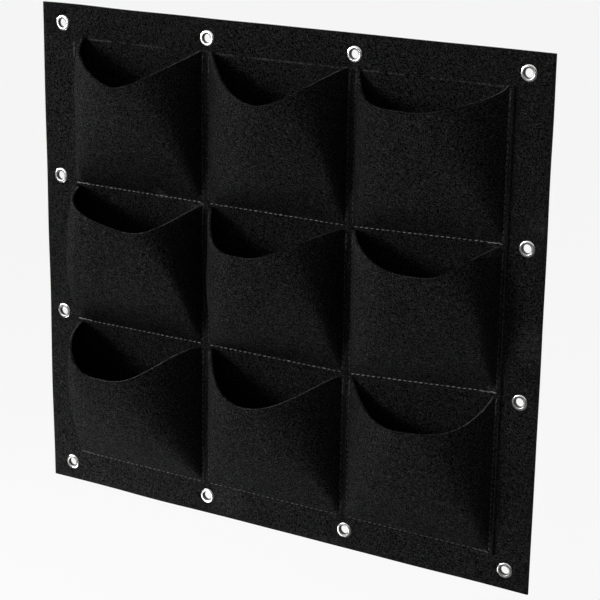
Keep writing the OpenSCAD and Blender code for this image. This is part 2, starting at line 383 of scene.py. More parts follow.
@dataclass(frozen=True)
class FeltFinish:
    """Needled felt: a mat of crossed fibres, some of them paler than the rest.

    Attributes:
        name: The material's name.
        ground: Colour of the mat.
        pale: Colour of its paler fibres.
        lint: Colour of the lint on it.
        dust: Colour of the dust in it.
        chalk: Colour of the maker's chalk line.
        fibre_share: How much of its paler fibres' colour shows.
        bump: Height of the fibres, in metres.
        layers: Turn of each layer of paler fibres about each axis, and how finely it is laid.
        strand: How many fibres lie side by side and end to end in a metre.
        chalk_height: Height of the chalk line above the panel's middle, or None.
        chalk_end: Where the line ends to each side.
        scuffs: Dusty places: x, z and reach in millimetres, and how dusty each is.
    """

    name: str = "black_felt"
    ground: Colour = (0.0062, 0.0062, 0.0064)
    pale: Colour = (0.095, 0.095, 0.096)
    lint: Colour = (0.30, 0.30, 0.29)
    dust: Colour = (0.085, 0.085, 0.083)
    chalk: Colour = (0.16, 0.16, 0.158)
    fibre_share: float = 0.62
    bump: float = 0.35 * MM
    layers: tuple[tuple[Triple, float], ...] = (
        ((0.3, 0.5, 0.4), 1.0), ((0.9, -0.7, 1.9), 1.3), ((-0.5, 1.1, 2.8), 0.8),
    )
    strand: Pair = (1100.0, 280.0)
    chalk_height: float | None = None
    chalk_end: float = 226.0 * MM
    scuffs: tuple[tuple[float, float, float, float], ...] = (
        (-51.6, -220.2, 24.0, 0.30), (257.3, 97.1, 18.0, 0.25), (253.9, -8.3, 24.0, 0.25),
        (-124.9, 71.7, 9.0, 0.80), (-92.0, 62.3, 9.0, 0.90), (-79.0, 67.5, 7.0, 1.00),
        (-184.0, 59.0, 6.0, 0.70), (-174.0, 56.0, 6.0, 0.60), (219.0, 70.1, 7.0, 0.80),
        (220.2, -54.2, 6.0, 0.60), (255.9, 232.3, 1.3, 3.00), (-251.0, -138.2, 1.3, 3.00),
    )

    def material(self) -> bpy.types.Material:
        """Builds the material.

        Returns:
            The finished material.
        """
        graph = Graph.for_material(self.name)
        plain = graph.place()
        speckle = graph.cloud(plain, 1400.0, 1.0, 0.5, 0.3)
        streaks = graph.cloud(graph.place((0.45, 1.0, 1.0)), 1500.0, 1.0, 0.5, 0.4)
        clumps = graph.cloud(plain, 190.0)
        patches = graph.cloud(plain, 16.0)
        strands = self._strands(graph)
        level = speckle.over(0.38, 0.68) ** 2.0 * 3.0 * streaks.over(0.40, 0.64).between(0.18, 1.78)
        mat = graph.tint(self.ground, level * clumps.between(0.95, 1.05) * patches.between(0.875, 1.125))
        lint = graph.cloud(plain, 260.0, 1.0, 0.5, 2.0).over(0.815, 0.85)
        colour = graph.mix(strands * self.fibre_share, mat, self.pale)
        colour = graph.mix(lint * 0.7, colour, self.lint)
        colour = graph.mix(self._dust(graph), colour, self.dust)
        if self.chalk_height is not None:
            colour = graph.mix(self._chalk(graph, self.chalk_height), colour, self.chalk)
        height = speckle * 0.8 + streaks * 0.6 + strands * 0.6 + clumps * 0.5
        return graph.finish({"Base Color": colour, "Roughness": 1.0, "Specular IOR Level": 0.0,
                             "Normal": graph.bump(height, self.bump, 0.55)})

    def _strands(self, graph: Graph) -> Value:
        """Paler fibres: thin crests of stretched noise, broken off here and there.

        Args:
            graph: The graph that they go into.

        Returns:
            1 on a fibre and 0 off it.
        """
        found = []
        for turn, fineness in self.layers:
            beside, along = (count * fineness for count in self.strand)
            where = graph.place((beside, beside, along), turn)
            crest = abs(graph.cloud(where, 1.0, 1.0, 0.5, 0.6) - 0.5).over(0.036, 0.008)
            found.append(crest * graph.cloud(where, 1.3, 1.0).over(0.45, 0.58))
        return reduce(Value.larger, found)

    @staticmethod
    def _room_side(graph: Graph) -> Value:
        """1 on the face of the felt towards the room and 0 on the one towards the wall."""
        return graph.axes(graph.here())[1].over(-1.5 * MM, -2.0 * MM)

    def _dust(self, graph: Graph) -> Value:
        """Dust caught in the fibres at the scuffed places.

        Args:
            graph: The graph that it goes into.

        Returns:
            The share of the surface that dust covers.
        """
        flat = graph.place((1.0, 0.0, 1.0))
        found = []
        for x, z, reach, strength in self.scuffs:
            away = graph.value("ShaderNodeVectorMath", {0: flat, 1: (x * MM, 0.0, z * MM)}, "Value",
                               operation="DISTANCE")
            found.append(away.over(reach * MM, 0.15 * reach * MM) * strength)
        caught = graph.cloud(graph.here(), 420.0, 3.0, 0.7).over(0.44, 0.64) * self._room_side(graph)
        dusty = reduce(Value.larger, found) * caught
        return dusty.maths("MINIMUM", dusty, 1.0)

    def _chalk(self, graph: Graph, height: float) -> Value:
        """The maker's chalk line that shows where the pockets start, worn to pieces.

        Args:
            graph: The graph that it goes into.
            height: Height of the line.

        Returns:
            The share of the surface that chalk covers.
        """
        where = graph.here()
        x, _, z = graph.axes(where)
        line = abs(z - height).over(1.1 * MM, 0.3 * MM)
        ends = abs(x).over(self.chalk_end, self.chalk_end - 12.0 * MM)
        gaps = graph.cloud(where, 46.0, 3.0, 0.7).over(0.40, 0.56)
        grain = graph.cloud(where, 600.0).over(0.38, 0.6)
        return line * ends * gaps * grain * self._room_side(graph) * 0.38


@dataclass(frozen=True)
class ThreadFinish:
    """Sewing thread, whose tone is carried by each stitch.

    Attributes:
        name: The material's name.
        colour: Colour at a tone of 1; the tone holds each run's painted light.
    """

    name: str = "sewing_thread"
    colour: Colour = (0.42, 0.42, 0.41)

    def material(self) -> bpy.types.Material:
        """Builds the material.

        Returns:
            The finished material.
        """
        graph = Graph.for_material(self.name)
        along = graph.place(turn=(0.0, 0.7, 0.0))
        twist = {"Vector": along, "Scale": 420.0, "Distortion": 1.5, "Detail": 1.0}
        ply = graph.value("ShaderNodeTexWave", twist, "Fac", wave_type="BANDS", bands_direction="X")
        fuzz = graph.cloud(graph.place(), 1500.0, 2.0, 0.6)
        # The tone is painted light: runs that lie in light are brighter, runs in shade darker.
        level = graph.attribute("tone") * ply.between(0.72, 1.07) * fuzz.between(0.8, 1.2)
        return graph.finish({
            "Base Color": graph.tint(self.colour, level), "Roughness": fuzz.between(0.5, 0.7),
            "Specular IOR Level": 0.35, "Sheen Weight": 0.15,
            "Normal": graph.bump(ply + fuzz * 0.5, 0.12 * MM, 0.6),
        })


@dataclass(frozen=True)
class NickelFinish:
    """Bright nickel plate with fine handling marks; painted shade darkens it, and it grows rougher, where
    the "shade" of its points is high.

    Attributes:
        name: The material's name.
        colour: Colour of the bright metal.
        bore_painted_shade: Painted shade inside a hole, a near-black colour that stands in for the shadow
            in the bore.
        roughness: Roughness of the clean metal.
    """

    name: str = "nickel_plate"
    colour: Colour = (0.80, 0.795, 0.78)
    bore_painted_shade: Colour = (0.03, 0.03, 0.03)
    roughness: float = 0.20

    def material(self) -> bpy.types.Material:
        """Builds the material.

        Returns:
            The finished material.
        """
        graph = Graph.for_material(self.name)
        cloud = graph.cloud(graph.place(), 240.0, 3.0, 0.6)
        fine = graph.cloud(graph.place((1.0, 1.0, 6.0), (0.4, 0.2, 0.7)), 900.0, 2.0, 0.6)
        scratch = abs(fine - 0.5).over(0.03, 0.004) * cloud.over(0.45, 0.6)
        shade = graph.attribute("shade")
        # Painted shade: the metal turns near black towards the bore, where the shade attribute is high.
        colour = graph.tint(graph.mix(shade, self.colour, self.bore_painted_shade), cloud.between(1.06, 0.90))
        rough = cloud * 0.16 + scratch * 0.2 + shade * 0.25 + (self.roughness - 0.06)
        return graph.finish({"Base Color": colour, "Metallic": 1.0, "Roughness": rough,
                             "Normal": graph.bump(cloud * 0.7 - scratch * 0.5, 0.06 * MM, 0.25)})


# Pieces


def points(parts: Iterable[object]) -> list[bmesh.types.BMVert]:
    """The points among some parts of a mesh."""
    return [part for part in parts if isinstance(part, bmesh.types.BMVert)]


def whole(mesh: bmesh.types.BMesh) -> list[object]:
    """All the points, edges and faces of a mesh."""
    return [*mesh.verts, *mesh.edges, *mesh.faces]


def copy_of(mesh: bmesh.types.BMesh, pattern: Sequence[object]) -> list[bmesh.types.BMVert]:
    """Copies a pattern within its mesh, and gives the points of the copy."""
    return points(bmesh.ops.duplicate(mesh, geom=pattern)["geom"])


def add_object(name: str, data: bpy.types.ID) -> bpy.types.Object:
    """Adds an object to the scene.

    Args:
        name: The object's name.
        data: Its mesh, light or camera.

    Returns:
        The new object.
    """
    made = bpy.data.objects.new(name, data)
    bpy.context.scene.collection.objects.link(made)
    return made


@dataclass
class Workshop:
    """Makes finished meshes into pieces of the planter, with their finish and their place."""

    sizes: PanelSizes
    felt: bpy.types.Material
    backing_felt: bpy.types.Material
    cut_felt_painted_highlight: bpy.types.Material
    thread: bpy.types.Material
    nickel: bpy.types.Material

    def piece(self, name: str, mesh: bmesh.types.BMesh, finishes: Sequence[bpy.types.Material],
              slot: str, stands_for: str) -> bpy.types.Object:
        """Makes one piece that rides with the planter and stands for one of its solids.

        Args:
            name: The piece's name.
            mesh: Its mesh, which is freed.
            finishes: Its materials, in the order of its faces' material numbers.
            slot: The record's material slot; not used.
            stands_for: The node that it replaces.

        Returns:
            The new object.
        """
        for face in mesh.faces:
            face.smooth = True
        data = bpy.data.meshes.new(name)
        mesh.to_mesh(data)
        mesh.free()
        for finish in finishes:
            data.materials.append(finish)
        made = add_object(name, data)
        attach(made, "root")
        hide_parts(stands_for)
        data.calc_loop_triangles()
        log.info("%s: %d triangles", name, len(data.loop_triangles))
        return made


class Cloth:
    """A piece of felt of real thickness, made from a flat grid whose points are placed one by one."""

    def __init__(self, columns: int, rows: int) -> None:
        """Starts with a flat grid.

        Args:
            columns: Cells across.
            rows: Cells up.
        """
        self.columns = columns
        self.rows = rows
        self.mesh = bmesh.new()
        bmesh.ops.create_grid(self.mesh, x_segments=columns, y_segments=rows, size=1.0)

    def put(self, where: Callable[[int, int], Vector]) -> None:
        """Moves each point of the grid to its place.

        Args:
            where: Gives the place of the point in a column and a row.
        """
        for vert in self.mesh.verts:
            column = round((vert.co.x + 1.0) / 2.0 * self.columns)
            row = round((vert.co.y + 1.0) / 2.0 * self.rows)
            vert.co = where(column, row)

    def thicken(self, thickness: float) -> tuple[set[bmesh.types.BMVert], list[bmesh.types.BMFace]]:
        """Gives the sheet its thickness, half to each side, with its faces outwards.

        Args:
            thickness: Thickness of the felt.

        Returns:
            The points of the side that faced the room, and the faces of the cut edges.
        """
        bmesh.ops.recalc_face_normals(self.mesh, faces=list(self.mesh.faces))
        if sum(face.normal.y * face.calc_area() for face in self.mesh.faces) > 0:
            bmesh.ops.reverse_faces(self.mesh, faces=list(self.mesh.faces))
        self.mesh.normal_update()
        room_side = set(self.mesh.verts)
        outwards = {vert.co.to_tuple(): vert.normal * (thickness / 2) for vert in room_side}
        bmesh.ops.extrude_face_region(self.mesh, geom=list(self.mesh.faces), use_keep_orig=True)
        for vert in self.mesh.verts:
            step = outwards[vert.co.to_tuple()]
            vert.co += step if vert in room_side else -step
        bmesh.ops.recalc_face_normals(self.mesh, faces=list(self.mesh.faces))
        cut = [
            face for face in self.mesh.faces
            if 0 < sum(vert in room_side for vert in face.verts) < len(face.verts)
        ]
        for face in cut:
            face.material_index = 1
        return room_side, cut

    def soften_cut(self, cut: Iterable[bmesh.types.BMFace], width: float = 0.45 * MM) -> None:
        """Rounds the two lips of each cut edge.

        Args:
            cut: The faces of the cut edges.
            width: How far in from each lip the rounding starts.
        """
        faces = set(cut)
        lips = {
            edge for face in faces for edge in face.edges
            if sum(other in faces for other in edge.link_faces) == 1
        }
        bmesh.ops.bevel(self.mesh, geom=list(lips), offset=width, offset_type="OFFSET", segments=2,
                        profile=0.5, affect="EDGES", material=-1, clamp_overlap=True)


@dataclass(frozen=True)
class Run:
    """One straight run of stitches.

    Attributes:
        start: Where it starts.
        end: Where it ends.
        tone: Painted light on its thread, bright where the run lies in light and dark where it lies in
            shade.
        tacked: Whether it starts with a few stitches sewn back over themselves.
    """

    start: Pair
    end: Pair
    tone: float
    tacked: bool = False

    @cached_property
    def length(self) -> float:
        """Length of the run."""
        return math.dist(self.start, self.end)

    @cached_property
    def heading(self) -> Vector:
        """Direction of the run in the panel."""
        return Vector((self.end[0] - self.start[0], 0.0, self.end[1] - self.start[1])).normalized()

    def at(self, along: float) -> Vector:
        """The place at a distance along the run, on the wall plane."""
        return Vector((self.start[0], 0.0, self.start[1])) + self.heading * along

    @cached_property
    def reach(self) -> tuple[float, float, float, float]:
        """Bounds of the run's surroundings, outside which it leaves no mark.

        Returns:
            Lowest and highest x, then lowest and highest z.
        """
        (x1, z1), (x2, z2) = self.start, self.end
        near = 5 * MM
        return min(x1, x2) - near, max(x1, x2) + near, min(z1, z2) - near, max(z1, z2) + near

    def distance(self, x: float, z: float) -> Pair:
        """How far a place is from the run.

        Args:
            x: Place across the panel.
            z: Place up the panel.

        Returns:
            The distance from the run, and how far along it the nearest point is.
        """
        run_x, run_z = self.heading.x, self.heading.z
        dx, dz = x - self.start[0], z - self.start[1]
        along = min(max(dx * run_x + dz * run_z, 0.0), self.length)
        return math.hypot(dx - run_x * along, dz - run_z * along), along


@dataclass(frozen=True)
class Sewing:
    """The lockstitch that holds a pocket, and the mark that it leaves in the felt.

    Attributes:
        pitch: Distance from one needle hole to the next.
        stitch: Length of thread that shows between two holes.
        thread: Thickness of the thread.
        groove: How deep the thread pulls the felt in.
        groove_width: How far the groove reaches to each side.
        groove_beat: How far its depth swings to each side of its mean, as a share.
        groove_behind: How deep it is on the wall's side, as a share.
        stray: How far a stitch strays along its run and beside it.
        slant: How far it points beside its run, and how much that varies.
        lengths: The least and the most of its length, as a share.
        shades: The least and the most of its tone, as a share.
        left_painted_light: Painted light on the thread down the left side of each column, dark where it
            lies in shade.
        right_painted_light: Painted light on the thread down the right side of each column.
        foot_painted_light: Painted light on the thread along the foot of each row, bright where light from
            above falls on it.
        tacks: How many stitches are sewn over the first ones of a tacked run.
        tack_aside: How far beside them these lie.
        tack_tone: The least tone of their thread.
    """

    pitch: float = 5.3 * MM
    stitch: float = 3.6 * MM
    thread: float = 0.85 * MM
    groove: float = 0.5 * MM
    groove_width: float = 1.5 * MM
    groove_beat: float = 0.18
    groove_behind: float = 0.7
    stray: Pair = (0.25 * MM, 0.12 * MM)
    slant: Pair = (0.05, 0.06)
    lengths: Pair = (0.93, 1.05)
    shades: Pair = (0.35, 1.2)
    left_painted_light: tuple[float, ...] = (0.03, 0.10, 0.10)
    right_painted_light: tuple[float, ...] = (0.10, 0.10, 0.14)
    foot_painted_light: tuple[float, ...] = (0.72, 0.72, 0.20)
    tacks: int = 3
    tack_aside: float = 0.55 * MM
    tack_tone: float = 0.3

    def runs(self, sizes: PanelSizes, form: PocketForm) -> list[Run]:
        """The three runs that hold one pocket: down the left, along the foot, down the right.

        Args:
            sizes: Sizes of the panel.
            form: The pocket.

        Returns:
            The runs.
        """
        inset = sizes.edge_gap / 2 + sizes.seam_inset
        left = sizes.column_left(form.column) + inset
        right = sizes.column_left(form.column + 1) - inset
        feet = [sizes.line_height(form.row + 1, form.column, across) + inset for across in (0.0, 1.0)]
        tops = [sizes.line_height(form.row, form.column, across) - inset for across in (0.0, 1.0)]
        foot_ends = [(left, feet[0]), (right, feet[1])]
        if form.column == 2:
            foot_ends.reverse()
        # Each run's tone is painted light: thread on a seam in light is brighter, on one in shade darker.
        return [
            Run((left, tops[0]), (left, feet[0]), self.left_painted_light[form.column], tacked=True),
            Run(*foot_ends, self.foot_painted_light[form.row], tacked=form.column != 1),
            Run((right, tops[1]), (right, feet[1]), self.right_painted_light[form.column], tacked=True),
        ]

    def sink(self, runs: Iterable[Run], x: float, z: float) -> float:
        """How far the stitches pull the felt's face in at a place.

        Args:
            runs: The runs nearby.
            x: Place across the panel.
            z: Place up the panel.

        Returns:
            The depth, in metres.
        """
        depth = 0.0
        for run in runs:
            low_x, high_x, low_z, high_z = run.reach
            if not (low_x < x < high_x and low_z < z < high_z):
                continue
            away, along = run.distance(x, z)
            if away < 3 * self.groove_width:
                beat = math.cos(2 * math.pi * (along / self.pitch - 0.5))
                share = 1.0 - self.groove_beat + self.groove_beat * beat
                depth = max(depth, self.groove * share * math.exp(-((away / self.groove_width) ** 2)))
        return depth


@dataclass
class StitchedThread:
    """All the stitches that hold one pocket, on both faces of the felt."""

    shop: Workshop
    form: PocketForm
    sewing: Sewing = Sewing()

    def build(self) -> None:
        """Builds the piece from copies of one small ball."""
        mesh = bmesh.new()
        # Each point carries its stitch's tone, which holds painted light for its run.
        tone = mesh.verts.layers.float.new("tone")
        bmesh.ops.create_uvsphere(mesh, u_segments=6, v_segments=5, radius=1.0)
        ball = whole(mesh)
        for place, shade in self._stitches():
            verts = copy_of(mesh, ball)
            bmesh.ops.transform(mesh, matrix=place, verts=verts)
            for vert in verts:
                vert[tone] = shade
        bmesh.ops.delete(mesh, geom=ball, context="VERTS")
        self.shop.piece("stitches_" + self.form.place, mesh, [self.shop.thread], "thread",
                        self.form.thread_node)

    def _stitches(self) -> Iterator[tuple[Matrix, float]]:
        """Goes along the pocket's runs stitch by stitch.

        Yields:
            What makes a ball into the stitch, and the tone of its thread, which holds painted light.
        """
        sewing = self.sewing
        chance = random.Random(f"stitches {self.form.place}")
        for run in sewing.runs(self.shop.sizes, self.form):
            count = int(run.length / sewing.pitch)
            start = (run.length - count * sewing.pitch) / 2
            for number in range(count):
                for side in Side:
                    yield self._stitch(run, start + (number + 0.5) * sewing.pitch, side, chance)
            for number in range(sewing.tacks if run.tacked else 0):
                along = start + (number + 0.1) * sewing.pitch
                yield self._stitch(run, along, Side.ROOM, chance, tack=True)

    def _stitch(self, run: Run, along: float, side: Side, chance: random.Random,
                tack: bool = False) -> tuple[Matrix, float]:
        """One stitch: a short length of thread that dips into the felt at both ends.

        Args:
            run: The run that it belongs to.
            along: Its middle, as a distance along the run.
            side: The face of the felt that it lies on.
            chance: Source of its small irregularities.
            tack: Whether it is sewn back over others.

        Returns:
            What makes a ball into the stitch, and the tone of its thread, which holds painted light.
        """
        sizes, sewing = self.shop.sizes, self.sewing
        on_room = side is Side.ROOM
        beside = Vector((-run.heading.z, 0.0, run.heading.x))
        stray_along, stray_aside = (chance.uniform(-most, most) for most in sewing.stray)
        spot = run.at(along + stray_along)
        spot += beside * ((sewing.tack_aside if tack else 0.0) + stray_aside)
        face = -2 * sizes.felt + sewing.groove * 0.7 if on_room else -sewing.groove * 0.5
        spot.y = face - sizes.wave(spot.x, spot.z)
        mean, most = sewing.slant
        slant = chance.uniform(-most, most) + (mean if on_room else -mean)
        pointing = (run.heading + beside * slant).normalized()
        turn = Vector((0.0, 0.0, 1.0)).rotation_difference(pointing).to_matrix().to_4x4()
        length = sewing.stitch * chance.uniform(*sewing.lengths)
        size = Matrix.Diagonal((sewing.thread / 2, sewing.thread / 2, length / 2, 1.0))
        # Painted light: the run's tone, raised for a tack, then varied at random from stitch to stitch.
        tone = max(run.tone, sewing.tack_tone if tack else 0.0) * chance.uniform(*sewing.shades)
        return Matrix.Translation(spot) @ turn @ size, tone


@dataclass
class FeltPocket:
    """One pocket: flat along its seams, bulging between them and open along its dipped rim.

    The steps are grid cells: across between the folds, up from the foot's fold to the rim, and
    out on each flat allowance. They crowd towards the sides, the less so the nearer evenness
    is to 1, and towards the foot. A tuck draws one corner of the rim in over a share of the
    height and of the width. The felt is fully uneven where it stands off by more than loose,
    in wide and in fine ripples, given by how many there are in a metre across and up.
    """

    shop: Workshop
    form: PocketForm
    sewing: Sewing = Sewing()
    steps_across: int = 112
    steps_up: int = 92
    seam_steps: int = 5
    evenness: float = 0.2
    foot_crowding: float = 1.12
    squarest: float = 40.0
    fold_radius: float = 1.6 * MM
    tuck_down: float = 0.2
    tuck_across: float = 0.14
    unevenness: float = 0.9 * MM
    loose: float = 18 * MM
    wide_ripples: Pair = (26.0, 22.0)
    fine_ripples: Pair = (70.0, 60.0)
    fine_share: float = 0.35

    def build(self) -> None:
        """Builds the piece."""
        shop, form = self.shop, self.form
        cloth = Cloth(self.steps_across + 2 * self.seam_steps, self.steps_up + self.seam_steps)
        cloth.put(self._grid_point)
        room_side, cut = cloth.thicken(shop.sizes.felt)
        runs = self.sewing.runs(shop.sizes, form)
        for vert in room_side:
            vert.co.y += self.sewing.sink(runs, vert.co.x, vert.co.z)
        cloth.soften_cut(cut)
        made = shop.piece("felt_" + form.node, cloth.mesh, [shop.felt, shop.cut_felt_painted_highlight], "felt", form.node)

    def _grid_point(self, column: int, row: int) -> Vector:
        """Where one point of the grid goes: the middle of the felt's thickness.

        Args:
            column: Number of the point across.
            row: Number of the point up.

        Returns:
            The place.
        """
        sizes, form = self.shop.sizes, self.form
        inner = sizes.pocket_width - sizes.edge_gap - 2 * sizes.allowance
        share = min(max((column - self.seam_steps) / self.steps_across, 0.0), 1.0)
        u = self.evenness * share + (1.0 - self.evenness) * (1.0 - math.cos(math.pi * share)) / 2.0
        v = (max(row - self.seam_steps, 0) / self.steps_up) ** self.foot_crowding
        foot = sizes.line_height(form.row + 1, form.column, u) + sizes.edge_gap / 2 + sizes.allowance
        reach = sizes.line_height(form.row, form.column, u) - sizes.edge_gap / 2 - self._dip(u) - foot
        across = u * inner + self._past_fold(column, self.steps_across)
        up = v * reach + self._past_fold(row, self.steps_up)
        tuck = max(0.0, (v - (1.0 - self.tuck_down)) / self.tuck_down) ** 1.5
        tuck *= form.tuck * max(0.0, 1.0 - u / self.tuck_across) ** 2
        x = sizes.column_left(form.column) + sizes.edge_gap / 2 + sizes.allowance + across + tuck
        z = foot + up
        left, right = self._eased(across) / inner, 1.0 - self._eased(inner - across) / inner
        u_out = left if u < form.plan[1] else right
        stand = self._stand_off(min(max(u_out, 0.0), 1.0), min(max(self._eased(up) / reach, 0.0), 1.0))
        stand += self.unevenness * min(1.0, stand / self.loose) * self._ripple(x, z)
        return Vector((x, -1.5 * sizes.felt - stand - sizes.wave(x, z), z))

    def _ripple(self, x: float, z: float) -> float:
        """How the felt ripples at a place, in its own way in each pocket.

        Args:
            x: Place across the panel.
            z: Place up the panel.

        Returns:
            The height, as a share of the unevenness.
        """
        row, column = self.form.row, self.form.column
        (wide_x, wide_z), (fine_x, fine_z) = self.wide_ripples, self.fine_ripples
        wide = noise.noise(Vector((x * wide_x, z * wide_z, row * 7.3 + column * 3.9)))
        fine = noise.noise(Vector((x * fine_x, z * fine_z, 9.1 + row * 2.7 + column)))
        return wide + self.fine_share * fine

    def _past_fold(self, number: int, steps: int) -> float:
        """How far a grid point lies out on an allowance: below 0 before the folds, above 0 after."""
        out = min(number - self.seam_steps, 0) + max(number - self.seam_steps - steps, 0)
        return out / self.seam_steps * self.shop.sizes.allowance

    def _eased(self, distance: float) -> float:
        """Distance past a fold, eased in over the fold's radius."""
        radius = self.fold_radius
        return max(math.hypot(max(distance + radius, 0.0), radius) - radius, 0.0)

    def _from_peak(self, u: float) -> float:
        """Distance from the fullest place, as a share of the way to the seam on that side."""
        peak = self.form.plan[1]
        return (peak - u) / peak if u < peak else (u - peak) / (1 - peak)

    def _stand_off(self, u: float, v: float) -> float:
        """How far the felt stands off the backing.

        Args:
            u: Share of the way across, between the folds.
            v: Share of the way up.

        Returns:
            The stand-off, in metres.
        """
        sizes = self.shop.sizes
        bulge, peak, square_left, square_right = self.form.plan
        belly_left, belly_right, growth_left, growth_right = self.form.foot
        at_rim, growth = (square_left, growth_left) if u < peak else (square_right, growth_right)
        square = min(at_rim / max(v, 0.02) ** growth, self.squarest)
        section = 1 - self._from_peak(u) ** square
        belly = belly_left * (1 - u) + belly_right * u
        slope_back = 1 - (1 - v / belly) ** 2 if v < belly else 1.0
        return bulge * sizes.rim_bulge * section * slope_back * (1 + sizes.belly_swell * (1 - v))

    def _dip(self, u: float) -> float:
        """How far the rim hangs below its corners.

        Args:
            u: Share of the way across, between the folds.

        Returns:
            The dip, in metres.
        """
        dip, round_left, round_right, ease = self.form.front
        round_by = round_left if u < self.form.plan[1] else round_right
        return dip * self.shop.sizes.rim_dip * max(1 - self._from_peak(u) ** round_by, 0.0) ** ease


@dataclass
class FeltBacking:
    """The backing: one sheet of felt with twelve punched and pressed holes.

    Its grid cells are coarse, and fine beside a seam. The grid bends along with a slanting
    seam, and its cut edges wander, in to a certain distance. Round each hole a square block
    of cells, given by half its side, gives way to rings of cells, given by their radii.
    """

    shop: Workshop
    sewing: Sewing = Sewing()
    coarse: float = 3.1 * MM
    fine: float = 1.1 * MM
    beside_seam: float = 6.5 * MM
    bend: float = 62 * MM
    wander: float = 0.7 * MM
    wander_in: float = 20 * MM
    wanders_in_metre: float = 11.0
    block: float = 10.3 * MM
    rings: tuple[float, ...] = (9.3 * MM, 8.6 * MM, 8.0 * MM, 7.5 * MM, 6.4 * MM, 4.55 * MM)
    press_radius: float = 7.6 * MM
    press_slope: float = 2.2 * MM

    def build(self) -> None:
        """Builds the piece."""
        shop, sizes = self.shop, self.shop.sizes
        columns = self._lines(sizes.width, [sizes.column_left(n) for n in range(4)])
        rows = self._lines(sizes.height, [sizes.line_height(n) for n in range(4)])
        cloth = Cloth(len(columns) - 1, len(rows) - 1)
        cloth.put(lambda column, row: self._grid_point(columns[column], rows[row]))
        for place in sizes.eyelets:
            self._punch(cloth.mesh, place)
        room_side, cut = cloth.thicken(sizes.felt)
        runs = [run for form in POCKETS for run in self.sewing.runs(sizes, form)]
        for vert in cloth.mesh.verts:
            pressed = self._pressed(vert.co.x, vert.co.z)
            if vert in room_side:
                vert.co.y += pressed
            else:
                sunk = self.sewing.groove_behind * self.sewing.sink(runs, vert.co.x, vert.co.z)
                vert.co.y -= pressed + sunk
        cloth.soften_cut(cut)
        finishes = [shop.backing_felt, shop.cut_felt_painted_highlight]
        made = shop.piece("felt_backing", cloth.mesh, finishes, "felt", "back_panel")
        sizes.height

    def _lines(self, extent: float, seams: Sequence[float]) -> list[float]:
        """Places of the grid lines, close together beside the seams.

        Args:
            extent: Distance from the first line to the last.
            seams: Places of the seams.

        Returns:
            The places, in rising order.
        """
        low, high = -extent / 2, extent / 2
        found = [low]
        while found[-1] < high - 0.5 * self.coarse:
            near = min(abs(found[-1] + 0.5 * self.fine - seam) for seam in seams)
            found.append(found[-1] + (self.fine if near < self.beside_seam else self.coarse))
        stretch = (high - low) / (found[-1] - low)
        return [low + (line - low) * stretch for line in found]

    def _grid_point(self, x: float, z: float) -> Vector:
        """Where one point of the grid goes, with the grid bent along the slanting seams.

        Args:
            x: Place across the panel.
            z: Place up the panel.

        Returns:
            The middle of the felt's thickness there.
        """
        sizes = self.shop.sizes
        share = (x - sizes.column_left(2)) / sizes.pocket_width
        for line in (1, 2):
            height = sizes.line_height(line)
            slope = sizes.line_height(line, 2, share) - height
            z += slope * max(0.0, 1.0 - (abs(z - height) / self.bend) ** 2)
        edge_x = max(0.0, 1.0 - (sizes.width / 2 - abs(x)) / self.wander_in)
        edge_z = max(0.0, 1.0 - (sizes.height / 2 - abs(z)) / self.wander_in)
        across, up = x * self.wanders_in_metre, z * self.wanders_in_metre
        wander_x = noise.noise(Vector((5.0, up, math.copysign(2.0, x)))) * self.wander * edge_x
        wander_z = noise.noise(Vector((across, 8.0, math.copysign(4.0, z)))) * self.wander * edge_z
        return Vector((x + wander_x, -sizes.felt / 2 - sizes.wave(x, z), z + wander_z))

    def _punch(self, mesh: bmesh.types.BMesh, place: Pair) -> None:
        """Cuts the hole of one eyelet, with rings of cells around it.

        Args:
            mesh: The sheet's mesh, before it is thickened.
            place: Centre of the eyelet.
        """
        sizes = self.shop.sizes
        centre = Vector((place[0], 0.0, place[1]))
        block = [face for face in mesh.faces if self._square_off(face, centre) < self.block]
        inside = set(block)
        outline = [edge for face in block for edge in face.edges if not inside.issuperset(edge.link_faces)]
        bmesh.ops.delete(mesh, geom=block, context="FACES")
        facing = Matrix.Translation(centre) @ Matrix.Rotation(math.pi / 2, 4, "X")
        radius = self.rings[0]
        ring = bmesh.ops.create_circle(mesh, segments=len(outline), radius=radius, matrix=facing)["verts"]
        rim = list(dict.fromkeys(edge for vert in ring for edge in vert.link_edges))
        bmesh.ops.bridge_loops(mesh, edges=outline + rim)
        for smaller in self.rings[1:]:
            grown = bmesh.ops.extrude_edge_only(mesh, edges=rim)["geom"]
            ring = points(grown)
            fresh = set(ring)
            edges = [part for part in grown if isinstance(part, bmesh.types.BMEdge)]
            rim = [edge for edge in edges if fresh.issuperset(edge.verts)]
            share = smaller / radius
            bmesh.ops.scale(mesh, vec=(share, share, share), space=Matrix.Translation(-centre), verts=ring)
            radius = smaller
        for vert in mesh.verts:
            if math.hypot(vert.co.x - centre.x, vert.co.z - centre.z) < self.rings[0] + 0.1 * MM:
                vert.co.y = -sizes.felt / 2 - sizes.wave(vert.co.x, vert.co.z)

    @staticmethod
    def _square_off(face: bmesh.types.BMFace, centre: Vector) -> float:
        """How far a cell is from a centre, across or up, whichever is more."""
        away = face.calc_center_median() - centre
        return max(abs(away.x), abs(away.z))

    def _pressed(self, x: float, z: float) -> float:
        """How far the eyelets press the felt in at a place, on each face.

        Args:
            x: Place across the panel.
            z: Place up the panel.

        Returns:
            The depth, in metres.
        """
        near = min(math.hypot(x - px, z - pz) for px, pz in self.shop.sizes.eyelets)
        share = min(max((near - self.press_radius) / self.press_slope, 0.0), 1.0)
        return self.shop.sizes.press_depth * (1 - share) ** 2


